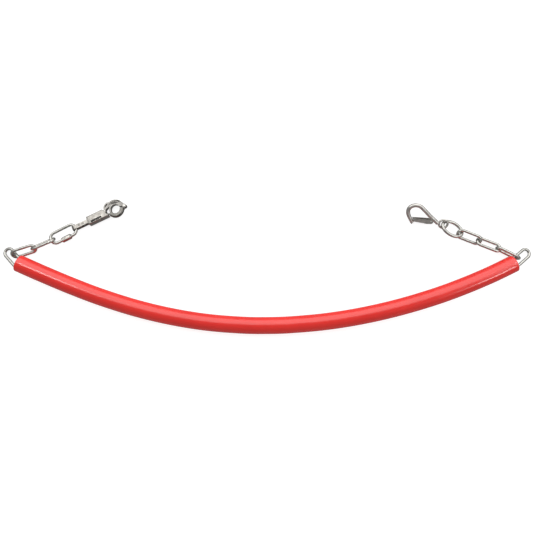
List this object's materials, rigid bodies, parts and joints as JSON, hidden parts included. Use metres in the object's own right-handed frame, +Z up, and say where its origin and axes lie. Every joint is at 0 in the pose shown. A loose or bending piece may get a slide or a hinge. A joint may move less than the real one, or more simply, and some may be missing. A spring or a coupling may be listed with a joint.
{
  "type": "hose-covered stall chain",
  "caption": "Long steel chain inside a red plastic hose, with a quick-release panic snap at one bare end and a gated snap hook at the other.",
  "frame": {"origin": "on the plane the chain lies on, under the middle of its overall length and depth", "axes": "+X from the panic snap's end towards the snap hook's end, +Y away from the hose's bow towards the bare chain ends, +Z up from the plane"},
  "size_m": [0.9049, 0.2295, 0.0287],
  "materials": {
    "red_hose": "smooth satin PVC",
    "galvanised_steel": "zinc-plated, slightly dull",
    "spring_steel": "bright drawn wire"
  },
  "bodies": {
    "hose_run": {"hose_cover": "red_hose", "core_link_01": "galvanised_steel", "core_link_02": "galvanised_steel", "core_link_03": "galvanised_steel", "core_link_04": "galvanised_steel", "core_link_05": "galvanised_steel", "core_link_06": "galvanised_steel", "core_link_07": "galvanised_steel", "core_link_08": "galvanised_steel", "core_link_09": "galvanised_steel", "core_link_10": "galvanised_steel", "core_link_11": "galvanised_steel", "core_link_12": "galvanised_steel", "core_link_13": "galvanised_steel", "core_link_14": "galvanised_steel", "core_link_15": "galvanised_steel", "core_link_16": "galvanised_steel", "core_link_17": "galvanised_steel", "core_link_18": "galvanised_steel", "core_link_19": "galvanised_steel", "core_link_20": "galvanised_steel", "core_link_21": "galvanised_steel", "core_link_22": "galvanised_steel", "core_link_23": "galvanised_steel", "core_link_24": "galvanised_steel", "core_link_25": "galvanised_steel"},
    "left_loop": {"left_end_link": "galvanised_steel"},
    "left_link_a": {"left_link_1": "galvanised_steel"},
    "left_link_b": {"left_link_2": "galvanised_steel"},
    "quick_link": {"quick_link_body": "galvanised_steel"},
    "quick_link_nut": {"quick_link_nut": "galvanised_steel"},
    "panic_snap": {"snap_frame": "galvanised_steel", "snap_strap": "galvanised_steel", "strap_rivet_1": "galvanised_steel", "strap_rivet_2": "galvanised_steel", "jaw_pin": "galvanised_steel", "sleeve_spring": "spring_steel"},
    "release_sleeve": {"release_sleeve": "galvanised_steel"},
    "snap_jaw": {"snap_jaw": "galvanised_steel"},
    "right_loop": {"right_end_link": "galvanised_steel"},
    "right_link_a": {"right_link_1": "galvanised_steel"},
    "right_link_b": {"right_link_2": "galvanised_steel"},
    "right_link_c": {"right_link_3": "galvanised_steel"},
    "oval_link": {"oval_link": "galvanised_steel"},
    "snap_hook": {"hook_body": "galvanised_steel", "gate_pin": "galvanised_steel", "gate_spring": "spring_steel"},
    "hook_gate": {"hook_gate": "galvanised_steel"}
  },
  "joints": [
    {"name": "left_loop_yaw", "type": "hinge", "parent": "hose_run", "child": "left_loop", "pos_m": [-0.42299, 0.00645, 0.0145], "axis": [0, 0, 1], "range_deg": [0, 10]},
    {"name": "left_link_a_yaw", "type": "hinge", "parent": "left_loop", "child": "left_link_a", "pos_m": [-0.4299, 0.02182, 0.00911], "axis": [0, 0, 1], "range_deg": [0, 20]},
    {"name": "left_link_b_swing", "type": "hinge", "parent": "left_link_a", "child": "left_link_b", "pos_m": [-0.40124, 0.03108, 0.0096], "axis": [0.1328, -0.3098, 0.9415], "range_deg": [0, 60]},
    {"name": "quick_link_swing", "type": "hinge", "parent": "left_link_b", "child": "quick_link", "pos_m": [-0.36356, 0.04723, 0.0096], "axis": [0, 0, 1], "range_deg": [-10, 50]},
    {"name": "quick_link_nut_slide", "type": "slide", "parent": "quick_link", "child": "quick_link_nut", "axis": [-0.8909, -0.4539, 0.014], "range_m": [0, 0.0076]},
    {"name": "panic_snap_swing", "type": "hinge", "parent": "quick_link", "child": "panic_snap", "pos_m": [-0.33511, 0.06252, 0.00857], "axis": [0, 0, 1], "range_deg": [-30, 32]},
    {"name": "release_sleeve_slide", "type": "slide", "parent": "panic_snap", "child": "release_sleeve", "axis": [-0.9026, -0.4305, 0], "range_m": [0, 0.011], "stiffness_N_per_m": 400, "deforming": ["sleeve_spring"]},
    {"name": "snap_jaw_swing", "type": "hinge", "parent": "panic_snap", "child": "snap_jaw", "pos_m": [-0.24285, 0.10382, 0.00906], "axis": [-0.0895, 0.1877, 0.9781], "range_deg": [0, 40]},
    {"name": "right_loop_yaw", "type": "hinge", "parent": "hose_run", "child": "right_loop", "pos_m": [0.42122, 0.00622, 0.0145], "axis": [0, 0, 1], "range_deg": [-20, 0]},
    {"name": "right_link_a_yaw", "type": "hinge", "parent": "right_loop", "child": "right_link_a", "pos_m": [0.42986, 0.01428, 0.0104], "axis": [0, 0, 1], "range_deg": [-45, 0]},
    {"name": "right_link_b_yaw", "type": "hinge", "parent": "right_link_a", "child": "right_link_b", "pos_m": [0.39314, 0.03251, 0.01026], "axis": [0, 0, 1], "range_deg": [-5, 22]},
    {"name": "right_link_c_lift", "type": "hinge", "parent": "right_link_b", "child": "right_link_c", "pos_m": [0.36566, 0.04368, 0.0069], "axis": [0.2989, 0.768, 0.5664], "range_deg": [0, 25]},
    {"name": "oval_link_lift", "type": "hinge", "parent": "right_link_c", "child": "oval_link", "pos_m": [0.32749, 0.05864, 0.00676], "axis": [0.2989, 0.768, 0.5664], "range_deg": [0, 35]},
    {"name": "snap_hook_swing", "type": "hinge", "parent": "oval_link", "child": "snap_hook", "pos_m": [0.30126, 0.07328, 0.00955], "axis": [-0.1341, -0.4222, 0.8965], "range_deg": [-60, 0]},
    {"name": "hook_gate_swing", "type": "hinge", "parent": "snap_hook", "child": "hook_gate", "pos_m": [0.28003, 0.07822, 0.0087], "axis": [-0.1341, -0.4222, 0.8965], "range_deg": [-28, 0], "stiffness_Nm_per_rad": 0.02}
  ],
  "couplings": [
    {"joint": "snap_jaw_swing", "follows": "release_sleeve_slide", "rad_per_m": 63.447}
  ]
}
